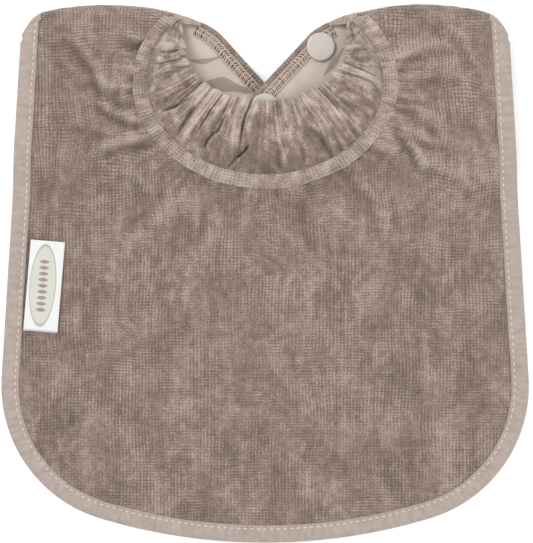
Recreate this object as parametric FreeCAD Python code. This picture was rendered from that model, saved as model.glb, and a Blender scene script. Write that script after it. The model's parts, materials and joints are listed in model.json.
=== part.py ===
import FreeCAD, Part
import math
import os

# Towelling bib lying flat, front face up, with both shoulder straps folded
# behind it and fastened by a press stud. Millimetres, +Z up, +Y to the neck,
# origin under the middle of the outline.

V = FreeCAD.Vector
os.makedirs("parts", exist_ok=True)

# Outline
BIB_WIDTH = 228.6
BIB_LENGTH = 232.7
SHOULDER_WIDTH = 208.6
CORNER_RADIUS = 60.0
BOTTOM_RADIUS = 247.0
SHOULDER_CORNER_RADIUS = 9.0
CREST_RADIUS = 115.0

# Neck
NECK_HALF_WIDTH = 51.3
NECK_HALF_HEIGHT = 40.0
NECK_CENTRE_BELOW_CREST = 33.8
NECK_END_HALF_WIDTH = 38.0
COLLAR_EDGE_HALF_WIDTH = 35.0
COLLAR_EDGE_HALF_HEIGHT = 25.0
COLLAR_OVER_CAP = 0.7
COLLAR_THICKNESS = 2.4
COLLAR_END_ANGLE = 97.0
ROLL_WIDTH = 5.2
ROLL_HEIGHT = 2.8
ELASTIC_WIDTH = 6.0
ELASTIC_THICKNESS = 0.8

# Cloth
TOWELLING = 1.8
LINING = 0.3
BINDING_CLOTH = 0.4
BINDING_WIDTH = 7.7
STITCH_INSET = 6.1
THREAD = 0.5
HEM_STRIP_WIDTH = 2.4
OVERLOCK_WIDTH = 4.6
HEM_CLOTH = 0.9
OVERLOCK_THICKNESS = 0.5

# Straps
STRAP_ANGLE = 48.0
STRAP_TIP_RADIUS = 10.0
SNAP_TO_NECK_EDGE = 7.4
SNAP_TO_TIP = 13.0
SNAP_BELOW_CREST = 44.9
SNAP_PITCH = 35.9
TAB_LENGTH = 18.0

# Press studs, size 20
CAP_RADIUS = 6.2
CAP_THICKNESS = 1.2
POST_RADIUS = 1.5
SOCKET_RADIUS = 5.2
SOCKET_HEIGHT = 2.6
SOCKET_BORE_RADIUS = 2.65
SOCKET_BORE_DEPTH = 1.9
STUD_FLANGE_RADIUS = 5.0
STUD_FLANGE_THICKNESS = 0.9
KNOB_RADIUS = 2.4
KNOB_TIP_RADIUS = 1.8
KNOB_HEIGHT = 1.7
KNOB_STRAIGHT = 0.8

# Label
LABEL_WIDTH = 14.4
LABEL_LENGTH = 38.7
LABEL_CLOTH = 0.3
LABEL_TILT = 4.8
LABEL_TOP_BELOW_CREST = 101.3

# Clearance between pieces that move against each other
CLEARANCE = 0.4
RAMP_INSIDE_SEAM = 22.0

# Derived heights and places
STACK = 2 * BINDING_CLOTH + LINING + TOWELLING
CREST_Y = BIB_LENGTH / 2
BOTTOM_Y = -BIB_LENGTH / 2
NECK_Y = CREST_Y - NECK_CENTRE_BELOW_CREST
SEAM_BOTTOM_Y = NECK_Y - NECK_HALF_HEIGHT
SNAP_Y = CREST_Y - SNAP_BELOW_CREST
COLLAR_EDGE_Y = SNAP_Y + 2.6 + COLLAR_EDGE_HALF_HEIGHT
CREST_X = (NECK_END_HALF_WIDTH + SHOULDER_WIDTH / 2 - 6.3) / 2
SHOULDER_LIFT = STUD_FLANGE_THICKNESS + KNOB_HEIGHT - BINDING_CLOTH + 0.1
BODY_LIFT = SHOULDER_LIFT + STACK + CLEARANCE
TAB_LIFT = CAP_THICKNESS - BINDING_CLOTH + 0.1
SNAP_BED = TOWELLING + LINING + OVERLOCK_THICKNESS
SOCKET_TOP = TAB_LIFT + BINDING_CLOTH + SNAP_BED + SOCKET_HEIGHT
RIGHT_LIFT = SOCKET_TOP + 0.3 + STUD_FLANGE_THICKNESS - BINDING_CLOTH
CAP_TOP = RIGHT_LIFT + BINDING_CLOTH + SNAP_BED + CAP_THICKNESS
COLLAR_RISE = CAP_TOP + COLLAR_OVER_CAP
RADIANS = math.radians(STRAP_ANGLE)


def solid_of(shape):
    """The one solid of a boolean result, or the whole shape if it has more."""
    clean = shape.removeSplitter()
    if len(clean.Solids) == 1:
        return clean.Solids[0]
    return clean


def save(name, shape):
    solid_of(shape).exportStep("parts/" + name + ".step")


def face_of(edges):
    return Part.Face(Part.Wire(Part.__sortEdges__(edges)))


def column(face):
    """A plan outline drawn at z = 0, run well past every layer."""
    low = face.copy()
    low.translate(V(0, 0, -20))
    return low.extrude(V(0, 0, 80))


def inset(face, distance):
    if distance == 0:
        return face
    return face.makeOffset2D(-distance)


def rounded_outline(corners):
    """Closed outline from (x, y, corner radius) points."""
    count = len(corners)
    arcs = []
    for i in range(count):
        x, y, radius = corners[i]
        corner = V(x, y, 0)
        before = V(corners[i - 1][0], corners[i - 1][1], 0) - corner
        after = V(corners[(i + 1) % count][0], corners[(i + 1) % count][1], 0) - corner
        before.normalize()
        after.normalize()
        if radius == 0:
            arcs.append((corner, None, corner))
            continue
        half = before.getAngle(after) / 2
        reach = radius / math.tan(half)
        middle = before + after
        middle.normalize()
        top = corner + middle * (radius / math.sin(half) - radius)
        arcs.append((corner + before * reach, top, corner + after * reach))
    edges = []
    for i in range(count):
        start, top, end = arcs[i]
        if top is not None:
            edges.append(Part.Arc(start, top, end).toShape())
        edges.append(Part.makeLine(end, arcs[(i + 1) % count][0]))
    return face_of(edges)


def ramp_slab(origin, along, across, start, end, low, high, bottom, top):
    """Layer whose height runs from low (before start) to high (after end)."""
    def edge_line(level):
        def point(u, z):
            return origin + along * u + V(0, 0, z) - across * 300
        curve = Part.BezierCurve()
        bend = (end - start) * 0.42
        curve.setPoles([
            point(start, low + level),
            point(start + bend, low + level),
            point(end - bend, high + level),
            point(end, high + level),
        ])
        return [
            Part.makeLine(point(-300, low + level), point(start, low + level)),
            curve.toShape(),
            Part.makeLine(point(end, high + level), point(300, high + level)),
        ], point(-300, low + level), point(300, high + level)
    under, under_a, under_b = edge_line(bottom)
    over, over_a, over_b = edge_line(top)
    face = face_of(under + over + [Part.makeLine(under_a, over_a), Part.makeLine(under_b, over_b)])
    return face.extrude(across * 600)


def ramp_height(u, start, end, low, high):
    """Height of the same curve at u, found by halving its parameter."""
    if u <= start:
        return low
    if u >= end:
        return high
    left = 0.0
    right = 1.0
    for _ in range(40):
        t = (left + right) / 2
        along = 3 * (1 - t) ** 2 * t * 0.42 + 3 * (1 - t) * t ** 2 * 0.58 + t ** 3
        if start + (end - start) * along < u:
            left = t
        else:
            right = t
    return low + (high - low) * (3 * (1 - t) * t ** 2 + t ** 3)


# ---- Body of the bib ----
BODY_RAMP_END = SNAP_Y - SNAP_TO_TIP - 1.5
BODY_RAMP_START = BODY_RAMP_END - 27.0


def body_slab(bottom, top):
    return ramp_slab(V(0, 0, 0), V(0, 1, 0), V(1, 0, 0), BODY_RAMP_START, BODY_RAMP_END,
                     0.0, BODY_LIFT, bottom, top)


def body_height(y):
    return ramp_height(y, BODY_RAMP_START, BODY_RAMP_END, 0.0, BODY_LIFT)


def corner_circle():
    """Centre of the lower corner arc, touching the bottom arc inside."""
    x = BIB_WIDTH / 2 - CORNER_RADIUS
    rise = math.sqrt((BOTTOM_RADIUS - CORNER_RADIUS) ** 2 - x ** 2)
    return x, BOTTOM_Y + BOTTOM_RADIUS - rise


def side_touch():
    """Point where the straight side meets the lower corner arc."""
    x, y = corner_circle()
    dx = SHOULDER_WIDTH / 2 - x
    dy = CREST_Y - y
    reach = math.hypot(dx, dy)
    turn = math.atan2(dy, dx) - math.acos(CORNER_RADIUS / reach)
    return x + CORNER_RADIUS * math.cos(turn), y + CORNER_RADIUS * math.sin(turn), turn


def side_x(y):
    """Half width of the bib on its straight side."""
    tx, ty, turn = side_touch()
    return tx + (SHOULDER_WIDTH / 2 - tx) * (y - ty) / (CREST_Y - ty)


def outer_edges(top_y):
    """Sides and bottom of the outline, closed by a straight line at top_y."""
    cx, cy = corner_circle()
    tx, ty, turn = side_touch()
    low = math.atan2(cy - (BOTTOM_Y + BOTTOM_RADIUS), cx)
    middle = (low + turn) / 2
    edges = []
    bottom = []
    for side in (1, -1):
        touch = V(side * tx, ty, 0)
        base = V(side * (cx + CORNER_RADIUS * math.cos(low)), cy + CORNER_RADIUS * math.sin(low), 0)
        bend = V(side * (cx + CORNER_RADIUS * math.cos(middle)),
                 cy + CORNER_RADIUS * math.sin(middle), 0)
        edges.append(Part.makeLine(V(side * side_x(top_y), top_y, 0), touch))
        edges.append(Part.Arc(touch, bend, base).toShape())
        bottom.append(base)
    edges.append(Part.Arc(bottom[0], V(0, BOTTOM_Y, 0), bottom[1]).toShape())
    edges.append(Part.makeLine(V(side_x(top_y), top_y, 0), V(-side_x(top_y), top_y, 0)))
    return face_of(edges)


BODY_TALL = outer_edges(CREST_Y + 30)


def crest_disc(side):
    disc = Part.makeCircle(CREST_RADIUS, V(side * CREST_X, CREST_Y - CREST_RADIUS, 0))
    return column(Part.Face(Part.Wire(disc)))


def ellipse_column(half_width, half_height, centre_y):
    if half_width >= half_height:
        curve = Part.Ellipse(V(0, centre_y, 0), half_width, half_height)
    else:
        curve = Part.Ellipse(V(0, centre_y + half_height, 0), V(half_width, centre_y, 0),
                             V(0, centre_y, 0))
    return column(Part.Face(Part.Wire(curve.toShape())))


def round_top_corners(plan, x):
    """Round the upright edges of the plan near the outer shoulder corners."""
    picked = []
    for edge in plan.Edges:
        middle = edge.CenterOfMass
        upright = abs(edge.BoundBox.ZLength - 80) < 0.01
        if upright and middle.y > CREST_Y - 14 and abs(middle.x) > x:
            picked.append(edge)
    return plan.makeFillet(SHOULDER_CORNER_RADIUS, picked)


neck_gap = Part.makeBox(2 * NECK_END_HALF_WIDTH, 60, 80,
                        V(-NECK_END_HALF_WIDTH, CREST_Y - 30, -20))
lower_part = Part.makeBox(600, 400, 80, V(-300, CREST_Y - 60 - 400, -20))
under_crests = lower_part.fuse([crest_disc(-1), crest_disc(1)])
full_plan = column(BODY_TALL).common(under_crests)
full_plan = round_top_corners(full_plan.removeSplitter(), SHOULDER_WIDTH / 2 - 8)
neck_hole = ellipse_column(NECK_HALF_WIDTH, NECK_HALF_HEIGHT, NECK_Y)
body_plan = full_plan.cut(neck_hole).cut(neck_gap)

cloth_plan = body_plan.common(column(inset(BODY_TALL, BINDING_CLOTH)))
binding_plan = body_plan.cut(column(inset(BODY_TALL, BINDING_WIDTH)))
stitch_ring = column(inset(BODY_TALL, STITCH_INSET - THREAD / 2))
stitch_ring = stitch_ring.cut(column(inset(BODY_TALL, STITCH_INSET + THREAD / 2)))

lining_top = BINDING_CLOTH + LINING
towel_top = lining_top + TOWELLING
back_lining = cloth_plan.common(body_slab(BINDING_CLOTH, lining_top))
front_panel = cloth_plan.common(body_slab(lining_top, towel_top))
edge_binding = binding_plan.common(body_slab(0, STACK))
edge_binding = edge_binding.cut(cloth_plan.common(body_slab(BINDING_CLOTH, towel_top)))
binding_stitching = body_plan.common(stitch_ring).common(body_slab(STACK, STACK + THREAD / 2))

roll_plan = full_plan.common(
    ellipse_column(NECK_HALF_WIDTH + ROLL_WIDTH, NECK_HALF_HEIGHT + ROLL_WIDTH, NECK_Y))
roll_plan = roll_plan.cut(neck_hole).cut(neck_gap)
neck_roll = roll_plan.common(body_slab(towel_top, towel_top + ROLL_HEIGHT))

save("back_lining", back_lining)
save("front_panel", front_panel)
save("edge_binding", edge_binding)
save("binding_stitching", binding_stitching)
save("neck_roll", neck_roll)

# ---- Collar: a doubled band from the neck seam up to its elastic edge ----
SEAM_END = math.pi - math.asin(NECK_END_HALF_WIDTH / NECK_HALF_WIDTH)
SECTIONS = 24


def collar_section(t, kind):
    """Cross-section at t from -1 (left end) to 1 (right end)."""
    seam_turn = SEAM_END * t
    edge_turn = math.radians(COLLAR_END_ANGLE) * t
    seam = V((NECK_HALF_WIDTH - 0.1) * math.sin(seam_turn),
             NECK_Y - (NECK_HALF_HEIGHT - 0.1) * math.cos(seam_turn), 0)
    free = V(COLLAR_EDGE_HALF_WIDTH * math.sin(edge_turn),
             COLLAR_EDGE_Y - COLLAR_EDGE_HALF_HEIGHT * math.cos(edge_turn), 0)
    along = free - seam
    length = along.Length
    along.normalize()
    base = body_height(seam.y) + BINDING_CLOTH
    edge = COLLAR_RISE - 1.6 * abs(t) ** 2
    shoulder = base + 0.88 * (edge - base)

    def point(u, z):
        return seam + along * u + V(0, 0, z)

    if kind == "band":
        outline = [
            point(0, base),
            point(0.40 * length, shoulder),
            point(length, edge),
            point(length, edge + COLLAR_THICKNESS),
            point(0.40 * length, shoulder + COLLAR_THICKNESS),
            point(0, base + COLLAR_THICKNESS),
        ]
    else:
        slope = (edge - shoulder) / (0.60 * length)
        wall = (COLLAR_THICKNESS - ELASTIC_THICKNESS) / 2
        width = min(ELASTIC_WIDTH, 0.60 * length - 1.5)
        near = length - wall - width
        far = length - wall
        near_z = edge - slope * (length - near) + wall
        far_z = edge - slope * wall + wall
        outline = [
            point(near, near_z),
            point(far, far_z),
            point(far, far_z + ELASTIC_THICKNESS),
            point(near, near_z + ELASTIC_THICKNESS),
        ]
    return Part.makePolygon(outline + [outline[0]])


def swept(kind):
    wires = [collar_section(2 * i / SECTIONS - 1, kind) for i in range(SECTIONS + 1)]
    return Part.makeLoft(wires, True, True)


collar_elastic = swept("elastic")
collar = swept("band").cut(collar_elastic)
save("collar", collar)
save("collar_elastic", collar_elastic)


# ---- Press studs ----
def cap_down(x, y, under):
    """Cap above the cloth with a post running down from it."""
    cap = Part.makeCylinder(CAP_RADIUS, CAP_THICKNESS, V(x, y, under))
    rims = [e for e in cap.Edges if e.BoundBox.ZMin > under + CAP_THICKNESS - 0.01]
    cap = cap.makeFillet(CAP_THICKNESS * 0.6, rims)
    depth = SNAP_BED + STUD_FLANGE_THICKNESS
    return cap.fuse(Part.makeCylinder(POST_RADIUS, depth, V(x, y, under - depth)))


def cap_up(x, y, over):
    """Cap below the cloth with a post running up into the socket's foot."""
    cap = Part.makeCylinder(CAP_RADIUS, CAP_THICKNESS, V(x, y, over - CAP_THICKNESS))
    rims = [e for e in cap.Edges if e.BoundBox.ZMax < over - CAP_THICKNESS + 0.01]
    cap = cap.makeFillet(CAP_THICKNESS * 0.6, rims)
    foot = SOCKET_HEIGHT - SOCKET_BORE_DEPTH
    return cap.fuse(Part.makeCylinder(POST_RADIUS, SNAP_BED + foot, V(x, y, over)))


def stud(x, y, over):
    """Flange under the cloth with a knob pointing down, tapered at its tip."""
    flange = Part.makeCylinder(STUD_FLANGE_RADIUS, STUD_FLANGE_THICKNESS,
                               V(x, y, over - STUD_FLANGE_THICKNESS))
    knob_end = over - STUD_FLANGE_THICKNESS - KNOB_HEIGHT
    taper = KNOB_HEIGHT - KNOB_STRAIGHT
    knob = Part.makeCone(KNOB_TIP_RADIUS, KNOB_RADIUS, taper, V(x, y, knob_end))
    knob = knob.fuse(Part.makeCylinder(KNOB_RADIUS, KNOB_STRAIGHT, V(x, y, knob_end + taper)))
    bore = Part.makeCylinder(POST_RADIUS, STUD_FLANGE_THICKNESS,
                             V(x, y, over - STUD_FLANGE_THICKNESS))
    return flange.fuse(knob).cut(bore)


def socket(x, y, under):
    """Ring above the cloth with a blind bore open upwards."""
    body = Part.makeCylinder(SOCKET_RADIUS, SOCKET_HEIGHT, V(x, y, under))
    rims = [e for e in body.Edges if e.BoundBox.ZMin > under + SOCKET_HEIGHT - 0.01]
    body = body.makeFillet(0.5, rims)
    bore = Part.makeCylinder(SOCKET_BORE_RADIUS, SOCKET_BORE_DEPTH,
                             V(x, y, under + SOCKET_HEIGHT - SOCKET_BORE_DEPTH))
    post = Part.makeCylinder(POST_RADIUS, SOCKET_HEIGHT - SOCKET_BORE_DEPTH, V(x, y, under))
    return body.cut(bore).cut(post)


# ---- Straps ----
def meet(p, dp, q, dq):
    """Crossing point of two plan lines."""
    cross = dp.x * dq.y - dp.y * dq.x
    t = ((q.x - p.x) * dq.y - (q.y - p.y) * dq.x) / cross
    return p + dp * t


class Strap:
    """One folded strap; side -1 is at -X, side 1 is its mirror."""

    def __init__(self, side, lift, ramp_near, ramp_far):
        self.side = side
        self.snap = V(0, SNAP_Y, 0)
        self.along = V(side * math.cos(RADIANS), math.sin(RADIANS), 0)
        self.across = V(-side * math.sin(RADIANS), math.cos(RADIANS), 0)
        self.lift = lift
        self.ramp_near = ramp_near
        self.ramp_far = ramp_far
        self.make_outlines()

    def at(self, s, c):
        return self.snap + self.along * s + self.across * c

    def slab(self, bottom, top):
        return ramp_slab(self.snap, self.along, self.across, self.ramp_near, self.ramp_far,
                         self.lift, SHOULDER_LIFT, bottom, top)

    def make_outlines(self):
        side = self.side
        half = SHOULDER_WIDTH / 2
        flare = V(side * (half - 24.5), CREST_Y - 40.0, 0)
        centre = self.at(STRAP_TIP_RADIUS - SNAP_TO_TIP, SNAP_TO_NECK_EDGE - STRAP_TIP_RADIUS)
        run = centre - flare
        turn = math.atan2(run.y, run.x) + side * math.asin(STRAP_TIP_RADIUS / run.Length)
        outer = V(math.cos(turn), math.sin(turn), 0)
        neck_point = self.at(0, SNAP_TO_NECK_EDGE)
        tip = meet(flare, outer, neck_point, self.along)
        end_corner = meet(flare, outer, self.at(-SNAP_TO_TIP, 0), self.across)
        end_far = self.at(-SNAP_TO_TIP, 60)
        bend = self.at(SNAP_TO_NECK_EDGE + 31.0, SNAP_TO_NECK_EDGE)
        neck_out = bend + V(side * math.cos(RADIANS * 0.62), math.sin(RADIANS * 0.62), 0) * 60
        high = CREST_Y + 30
        shoulder = V(side * (half - 3.2), CREST_Y - 12.0, 0)
        plan = rounded_outline([
            (tip.x, tip.y, STRAP_TIP_RADIUS),
            (bend.x, bend.y, 20.0),
            (neck_out.x, neck_out.y, 0),
            (side * (half - 2.0), high + 20, 0),
            (shoulder.x, shoulder.y, 12.0),
            (flare.x, flare.y, 30.0),
        ])
        self.plan = column(plan).common(crest_disc(side))
        self.bound = rounded_outline([
            (end_corner.x, end_corner.y, STRAP_TIP_RADIUS),
            (end_far.x, end_far.y, 0),
            (end_far.x, high + 50, 0),
            (side * (half - 1.6), high + 50, 0),
            (shoulder.x, shoulder.y, 12.0),
            (flare.x, flare.y, 30.0),
        ])
        start = self.at(-80, SNAP_TO_NECK_EDGE)
        self.hemmed = rounded_outline([
            (start.x, start.y, 0),
            (bend.x, bend.y, 20.0),
            (neck_out.x, neck_out.y, 0),
            (side * 190, high + 50, 0),
            (side * 190, -80, 0),
        ])

    def layers(self):
        """Cloth, binding, hem and thread of the whole strap by name."""
        bound_in = column(inset(self.bound, BINDING_CLOTH))
        hem_in = column(inset(self.hemmed, BINDING_CLOTH))
        bound_ring = self.plan.cut(column(inset(self.bound, BINDING_WIDTH)))
        inner = self.plan.cut(bound_ring)
        strip = inner.cut(column(inset(self.hemmed, HEM_STRIP_WIDTH)))
        band = inner.cut(column(inset(self.hemmed, HEM_STRIP_WIDTH + OVERLOCK_WIDTH)))
        band = band.cut(strip)
        cloth = self.plan.common(bound_in).common(hem_in)
        towel_base = BINDING_CLOTH
        lining_base = towel_base + TOWELLING
        cloth_top = lining_base + LINING
        core = cloth.common(self.slab(towel_base, cloth_top))
        thread = column(inset(self.bound, STITCH_INSET - THREAD / 2))
        thread = thread.cut(column(inset(self.bound, STITCH_INSET + THREAD / 2)))
        return {
            "towelling": cloth.common(self.slab(towel_base, lining_base)),
            "lining": cloth.common(self.slab(lining_base, cloth_top)),
            "binding": bound_ring.common(self.slab(0, STACK)).cut(core),
            "stitching": self.plan.common(thread).common(self.slab(STACK, STACK + THREAD / 2)),
            "neck_hem": strip.common(self.slab(0, cloth_top + HEM_CLOTH)).cut(core),
            "overlock": band.common(self.slab(cloth_top, cloth_top + OVERLOCK_THICKNESS)),
        }

    def post_hole(self, s):
        place = self.at(s, 0)
        return Part.makeCylinder(POST_RADIUS, 80, V(place.x, place.y, -20))

    def cap_bed(self, s):
        place = self.at(s, 0)
        return Part.makeCylinder(CAP_RADIUS + 0.1, 80, V(place.x, place.y, -20))

    def beyond(self, s):
        """Half space on the shoulder side of the line at s."""
        start = self.at(s, -300)
        face = Part.Face(Part.makePolygon([
            start, start + self.across * 600, start + self.across * 600 + self.along * 600,
            start + self.along * 600, start]))
        return column(face)


def drilled(layers, strap, places):
    """Cut the press-stud holes and bed the caps into hems and bindings."""
    done = {}
    for name, shape in layers.items():
        for s in places:
            if name in ("towelling", "lining", "overlock"):
                shape = shape.cut(strap.post_hole(s))
            else:
                shape = shape.cut(strap.cap_bed(s))
        done[name] = shape
    return done


left = Strap(-1, TAB_LIFT, TAB_LENGTH + 2.0, TAB_LENGTH + 16.0)
left_layers = drilled(left.layers(), left, [0])
strap_side = left.beyond(TAB_LENGTH + 0.15)
tab_side = left.beyond(TAB_LENGTH - 0.15)
for name, shape in left_layers.items():
    save("left_strap_" + name, shape.common(strap_side))
    save("left_tab_" + name, shape.cut(tab_side))

tab_cloth_base = TAB_LIFT + BINDING_CLOTH
save("left_snap_cap", cap_up(0, SNAP_Y, tab_cloth_base))
save("left_snap_socket", socket(0, SNAP_Y, tab_cloth_base + SNAP_BED))

# It is down at shoulder height before the spare cap and before it passes under the neck seam.
right_ramp_end = min(SNAP_PITCH - CAP_RADIUS - 0.5, NECK_HALF_WIDTH - RAMP_INSIDE_SEAM)
right = Strap(1, RIGHT_LIFT, 10.0, right_ramp_end)
right_layers = drilled(right.layers(), right, [0, SNAP_PITCH])
for name, shape in right_layers.items():
    save("right_strap_" + name, shape)
spare = right.at(SNAP_PITCH, 0)
for name, x, y, lift in (("fastened", 0, SNAP_Y, RIGHT_LIFT), ("spare", spare.x, spare.y, SHOULDER_LIFT)):
    cloth_base = lift + BINDING_CLOTH
    save(name + "_snap_cap", cap_down(x, y, cloth_base + SNAP_BED))
    save(name + "_snap_stud", stud(x, y, cloth_base))

# ---- Side label: a folded loop, sewn along one long edge ----
tilt = math.radians(LABEL_TILT)
label_top_y = CREST_Y - LABEL_TOP_BELOW_CREST
label_top_x = -side_x(label_top_y) + BINDING_WIDTH + 1.6
label_down = V(-math.sin(tilt), -math.cos(tilt), 0)
label_out = V(math.cos(tilt), -math.sin(tilt), 0)
label_base = towel_top + CLEARANCE
label_section = [
    (0, 0),
    (LABEL_WIDTH, 0),
    (LABEL_WIDTH, 3 * LABEL_CLOTH),
    (0, 3 * LABEL_CLOTH),
    (0, 2 * LABEL_CLOTH),
    (LABEL_WIDTH - LABEL_CLOTH, 2 * LABEL_CLOTH),
    (LABEL_WIDTH - LABEL_CLOTH, LABEL_CLOTH),
    (0, LABEL_CLOTH),
]
corners = [V(label_top_x, label_top_y, label_base) + label_out * u + V(0, 0, z)
           for u, z in label_section]
label_face = Part.Face(Part.makePolygon(corners + [corners[0]]))
save("side_label", label_face.extrude(label_down * LABEL_LENGTH))
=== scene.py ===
import json
import math
import bpy
import numpy as np
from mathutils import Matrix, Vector
from mathutils.kdtree import KDTree


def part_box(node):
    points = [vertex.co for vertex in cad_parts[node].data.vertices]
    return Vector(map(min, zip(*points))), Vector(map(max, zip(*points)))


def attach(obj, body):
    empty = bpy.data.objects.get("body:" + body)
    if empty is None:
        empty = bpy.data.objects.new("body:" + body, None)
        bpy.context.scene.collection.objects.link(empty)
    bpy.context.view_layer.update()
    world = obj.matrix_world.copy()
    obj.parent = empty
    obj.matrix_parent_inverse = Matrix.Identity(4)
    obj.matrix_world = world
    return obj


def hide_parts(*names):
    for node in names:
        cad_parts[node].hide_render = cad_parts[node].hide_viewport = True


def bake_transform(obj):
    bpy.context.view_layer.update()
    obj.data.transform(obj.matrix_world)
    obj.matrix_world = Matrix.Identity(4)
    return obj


# A towelling bib lying flat, seen from above. Lengths here are millimetres until
# a mesh is made. The frame gives boxes and joints; the outline's radii and the
# straps' run repeat the CAD model's.

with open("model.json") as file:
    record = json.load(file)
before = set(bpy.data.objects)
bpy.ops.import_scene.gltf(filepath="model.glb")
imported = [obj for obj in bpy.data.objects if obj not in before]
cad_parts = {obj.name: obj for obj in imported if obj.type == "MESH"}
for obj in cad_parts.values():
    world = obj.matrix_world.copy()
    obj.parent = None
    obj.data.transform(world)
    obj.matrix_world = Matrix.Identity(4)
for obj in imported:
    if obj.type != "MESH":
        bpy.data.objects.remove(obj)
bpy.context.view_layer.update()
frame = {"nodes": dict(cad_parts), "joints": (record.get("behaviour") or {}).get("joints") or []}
MM = 0.001


def box(node):
    low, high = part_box(node)
    return np.array(low) / MM, np.array(high) / MM


# ---- driving sizes
PANEL_HIGH = box("front_panel")[1]
BINDING_LOW, BINDING_HIGH = box("edge_binding")
CREST_Y = PANEL_HIGH[1]
BOTTOM_Y = BINDING_LOW[1]
HALF_WIDTH = BINDING_HIGH[0]
SHOULDER_INSET = 9.9
SHOULDER_X = HALF_WIDTH - SHOULDER_INSET
SHOULDER_ROUND = 9.0
CORNER_RADIUS = 60.0
BOTTOM_RADIUS = 247.0
CREST_RADIUS = 115.0
CREST_X = 68.0
NECK_A = 51.3
NECK_B = 40.0
NECK_BELOW_CREST = 33.8
NECK_Y = CREST_Y - NECK_BELOW_CREST
NECK_END_X = 38.0
ROLL_WIDTH = 5.2
BINDING_WIDTH = 7.7
STITCH_INSET = 6.1
STITCH_PITCH = 2.85
STITCH_LEVEL = 2.78
LOOP_PITCH = 0.95
TOWEL_TOP = 2.5
LINING_UNDER = 0.4
BODY_LIFT = PANEL_HIGH[2] - TOWEL_TOP
FOLD_Z = frame["joints"][0]["pos_m"][2] / MM
FOLD_RADIUS = BODY_LIFT + TOWEL_TOP - FOLD_Z
SNAP_Y = (box("fastened_snap_cap")[0][1] + box("fastened_snap_cap")[1][1]) / 2
ANGLE = math.radians(48.0)
STRAP_TOWEL_TOP = 2.2
SHOULDER_LIFT = box("left_strap_towelling")[1][2] - STRAP_TOWEL_TOP
TAB_LIFT = box("left_tab_lining")[1][2] - TOWEL_TOP
RIGHT_LIFT = box("right_strap_lining")[1][2] - TOWEL_TOP
SNAP_TO_NECK_EDGE = 7.4
SNAP_TO_TIP = 13.0
TIP_RADIUS = 10.0
TAB_LENGTH = 18.0
RIGHT_RAMP_START, RIGHT_RAMP_END = 10.0, 29.2
BODY_RAMP_START, BODY_RAMP_END = 41.5, 14.5
COLLAR_RISE = 12.2


# ---- small helpers
def lattice(ix, iy, seed):
    """A fixed pseudo-random value from -1 to 1 at each whole-number point."""
    n = ix.astype(np.int64) * 374761393 + iy.astype(np.int64) * 668265263 + seed * 974711
    n = n & 0xFFFFFFFF
    n = ((n ^ (n >> 13)) * 1274126177) & 0xFFFFFFFF
    n = n ^ (n >> 16)
    return (n & 0xFFFF) / 32767.5 - 1.0


def noise(x, y, size, seed=0):
    """Smooth noise from -1 to 1 with features about size across."""
    x, y = np.asarray(x, float) / size, np.asarray(y, float) / size
    ix, iy = np.floor(x), np.floor(y)
    fx, fy = x - ix, y - iy
    fx, fy = fx * fx * (3 - 2 * fx), fy * fy * (3 - 2 * fy)
    a, b = lattice(ix, iy, seed), lattice(ix + 1, iy, seed)
    c, d = lattice(ix, iy + 1, seed), lattice(ix + 1, iy + 1, seed)
    return (a * (1 - fx) + b * fx) * (1 - fy) + (c * (1 - fx) + d * fx) * fy


def smooth(a, b, x):
    t = np.clip((np.asarray(x, float) - a) / (b - a), 0, 1)
    return t * t * (3 - 2 * t)


def ramp(u, start, end, low, high):
    """The CAD layers' height curve from low at start to high at end."""
    t = np.linspace(0, 1, 80)
    along = 3 * (1 - t) ** 2 * t * 0.42 + 3 * (1 - t) * t ** 2 * 0.58 + t ** 3
    rise = 3 * (1 - t) * t ** 2 + t ** 3
    at = (np.asarray(u, float) - start) / (end - start)
    return low + (high - low) * np.interp(at, along, rise)


def lengths(points):
    """Length run from the first point to each point of a polyline."""
    return np.r_[0, np.cumsum(np.linalg.norm(np.diff(points, axis=0), axis=1))]


def resample(points, count):
    """count points spread evenly by length along a polyline."""
    points = np.asarray(points, float)
    steps = lengths(points)
    at = np.linspace(0, steps[-1], count)
    return np.stack([np.interp(at, steps, points[:, k]) for k in range(points.shape[1])], 1)


def tangents(path):
    """Unit directions along a path."""
    run = np.gradient(path, axis=0)
    return run / np.linalg.norm(run, axis=1)[:, None]


def normals_2d(path):
    """Unit plan normals to the left of the path's direction."""
    run = tangents(path[:, :2])
    return np.stack([-run[:, 1], run[:, 0]], 1)


def rounded_path(corners):
    """Dense polyline through (x, y, radius) corners, each rounded by its radius."""
    out = [np.array(corners[0][:2], float)]
    for i in range(1, len(corners) - 1):
        p = np.array(corners[i][:2], float)
        a = np.array(corners[i - 1][:2], float) - p
        b = np.array(corners[i + 1][:2], float) - p
        a /= np.linalg.norm(a)
        b /= np.linalg.norm(b)
        half = math.acos(np.clip(a @ b, -1, 1)) / 2
        radius = corners[i][2]
        reach = radius / math.tan(half)
        middle = (a + b) / np.linalg.norm(a + b)
        centre = p + middle * radius / math.sin(half)
        start, end = p + a * reach - centre, p + b * reach - centre
        sweep = math.pi - 2 * half
        for t in np.linspace(0, 1, 24):
            blend = (math.sin((1 - t) * sweep) * start + math.sin(t * sweep) * end) / math.sin(sweep)
            out.append(centre + blend)
    out.append(np.array(corners[-1][:2], float))
    return np.array(out)


def orient(mesh, facing):
    """Point a sheet's normals up or down, and a shell's normals outwards."""
    count = len(mesh.polygons)
    normals, centres, areas = np.zeros(count * 3), np.zeros(count * 3), np.zeros(count)
    mesh.polygons.foreach_get("normal", normals)
    mesh.polygons.foreach_get("center", centres)
    mesh.polygons.foreach_get("area", areas)
    lift = normals[2::3] * areas
    if facing == "out":
        lift = lift * centres[2::3]
    if lift.sum() * (-1 if facing == "down" else 1) < 0:
        mesh.flip_normals()


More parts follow.
